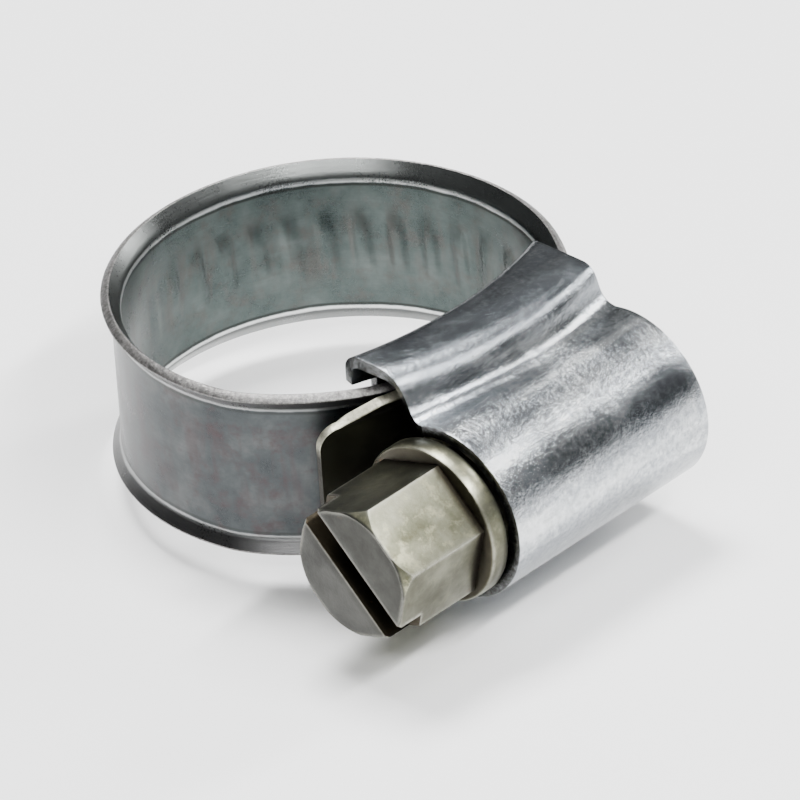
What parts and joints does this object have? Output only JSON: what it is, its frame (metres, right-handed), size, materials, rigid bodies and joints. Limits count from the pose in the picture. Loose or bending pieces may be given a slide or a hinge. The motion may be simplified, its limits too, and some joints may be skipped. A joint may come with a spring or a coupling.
{
  "type": "hose clamp",
  "caption": "Worm-drive hose clamp: flared steel band, pressed housing and a slotted hex screw that draws the band closed.",
  "frame": {"origin": "middle of the box's underside, with the ring's axis vertical", "axes": "+Z along the ring's axis, X along the screw with its head at -X, the housing towards -Y"},
  "size_m": [0.0266, 0.0314, 0.0132],
  "materials": {
    "zinc_plate": "zinc-plated strip steel, satin",
    "bright_zinc": "bright zinc plate, lightly spangled",
    "passivated_zinc": "zinc plate with an olive passivation"
  },
  "bodies": {
    "housing": {"housing": "bright_zinc", "band_fixed_end": "zinc_plate"},
    "band_link_01": {"band_link_01": "zinc_plate"},
    "band_link_02": {"band_link_02": "zinc_plate"},
    "band_link_03": {"band_link_03": "zinc_plate"},
    "band_link_04": {"band_link_04": "zinc_plate"},
    "band_link_05": {"band_link_05": "zinc_plate"},
    "band_link_06": {"band_link_06": "zinc_plate"},
    "band_link_07": {"band_link_07": "zinc_plate"},
    "band_link_08": {"band_link_08": "zinc_plate"},
    "band_link_09": {"band_link_09": "zinc_plate"},
    "band_link_10": {"band_link_10": "zinc_plate"},
    "band_link_11": {"band_link_11": "zinc_plate"},
    "band_link_12": {"band_link_12": "zinc_plate"},
    "band_link_13": {"band_link_13": "zinc_plate"},
    "band_tail": {"band_tail": "zinc_plate"},
    "worm_screw": {"worm_screw": "passivated_zinc"}
  },
  "joints": [
    {"name": "screw_turn", "type": "hinge", "parent": "housing", "child": "worm_screw", "pos_m": [0.00125, -0.01082, 0.0066], "axis": [1, 0, 0], "range_deg": [0, 720]},
    {"name": "band_link_01_bend", "type": "hinge", "parent": "housing", "child": "band_link_01", "pos_m": [-0.00604, -0.004, 0.0066], "axis": [0, 0, -1], "range_deg": [0, 1.42]},
    {"name": "band_link_02_bend", "type": "hinge", "parent": "band_link_01", "child": "band_link_02", "pos_m": [-0.00926, -0.00022, 0.0066], "axis": [0, 0, -1], "range_deg": [0, 1.46]},
    {"name": "band_link_03_bend", "type": "hinge", "parent": "band_link_02", "child": "band_link_03", "pos_m": [-0.00999, 0.00466, 0.0066], "axis": [0, 0, -1], "range_deg": [0, 1.49]},
    {"name": "band_link_04_bend", "type": "hinge", "parent": "band_link_03", "child": "band_link_04", "pos_m": [-0.00845, 0.00937, 0.0066], "axis": [0, 0, -1], "range_deg": [0, 1.5]},
    {"name": "band_link_05_bend", "type": "hinge", "parent": "band_link_04", "child": "band_link_05", "pos_m": [-0.00503, 0.01297, 0.0066], "axis": [0, 0, -1], "range_deg": [0, 1.47]},
    {"name": "band_link_06_bend", "type": "hinge", "parent": "band_link_05", "child": "band_link_06", "pos_m": [-0.00041, 0.01475, 0.0066], "axis": [0, 0, -1], "range_deg": [0, 1.43]},
    {"name": "band_link_07_bend", "type": "hinge", "parent": "band_link_06", "child": "band_link_07", "pos_m": [0.00454, 0.01439, 0.0066], "axis": [0, 0, -1], "range_deg": [0, 1.37]},
    {"name": "band_link_08_bend", "type": "hinge", "parent": "band_link_07", "child": "band_link_08", "pos_m": [0.00885, 0.01194, 0.0066], "axis": [0, 0, -1], "range_deg": [0, 1.33]},
    {"name": "band_link_09_bend", "type": "hinge", "parent": "band_link_08", "child": "band_link_09", "pos_m": [0.0117, 0.00788, 0.0066], "axis": [0, 0, -1], "range_deg": [0, 1.32]},
    {"name": "band_link_10_bend", "type": "hinge", "parent": "band_link_09", "child": "band_link_10", "pos_m": [0.01254, 0.00299, 0.0066], "axis": [0, 0, -1], "range_deg": [0, 1.35]},
    {"name": "band_link_11_bend", "type": "hinge", "parent": "band_link_10", "child": "band_link_11", "pos_m": [0.0112, -0.00178, 0.0066], "axis": [0, 0, -1], "range_deg": [0, 5.61]},
    {"name": "band_link_12_bend", "type": "hinge", "parent": "band_link_11", "child": "band_link_12", "pos_m": [0.01001, -0.00363, 0.0066], "axis": [0, 0, -1], "range_deg": [0, 4.42]},
    {"name": "band_link_13_bend", "type": "hinge", "parent": "band_link_12", "child": "band_link_13", "pos_m": [0.00847, -0.00519, 0.0066], "axis": [0, 0, -1], "range_deg": [-1.51, 0]},
    {"name": "band_tail_bend", "type": "hinge", "parent": "band_link_13", "child": "band_tail", "pos_m": [0.00648, -0.00609, 0.0066], "axis": [0, 0, -1], "range_deg": [-14.15, 0]}
  ],
  "couplings": [
    {"joint": "band_link_01_bend", "follows": "screw_turn", "ratio": 0.0019579},
    {"joint": "band_link_02_bend", "follows": "screw_turn", "ratio": 0.002018},
    {"joint": "band_link_03_bend", "follows": "screw_turn", "ratio": 0.0020609},
    {"joint": "band_link_04_bend", "follows": "screw_turn", "ratio": 0.0020672},
    {"joint": "band_link_05_bend", "follows": "screw_turn", "ratio": 0.0020324},
    {"joint": "band_link_06_bend", "follows": "screw_turn", "ratio": 0.0019666},
    {"joint": "band_link_07_bend", "follows": "screw_turn", "ratio": 0.0018913},
    {"joint": "band_link_08_bend", "follows": "screw_turn", "ratio": 0.0018337},
    {"joint": "band_link_09_bend", "follows": "screw_turn", "ratio": 0.0018176},
    {"joint": "band_link_10_bend", "follows": "screw_turn", "ratio": 0.0018569},
    {"joint": "band_link_11_bend", "follows": "screw_turn", "ratio": 0.0077789},
    {"joint": "band_link_12_bend", "follows": "screw_turn", "ratio": 0.0061204},
    {"joint": "band_link_13_bend", "follows": "screw_turn", "ratio": -0.0020802},
    {"joint": "band_tail_bend", "follows": "screw_turn", "ratio": -0.019646}
  ]
}
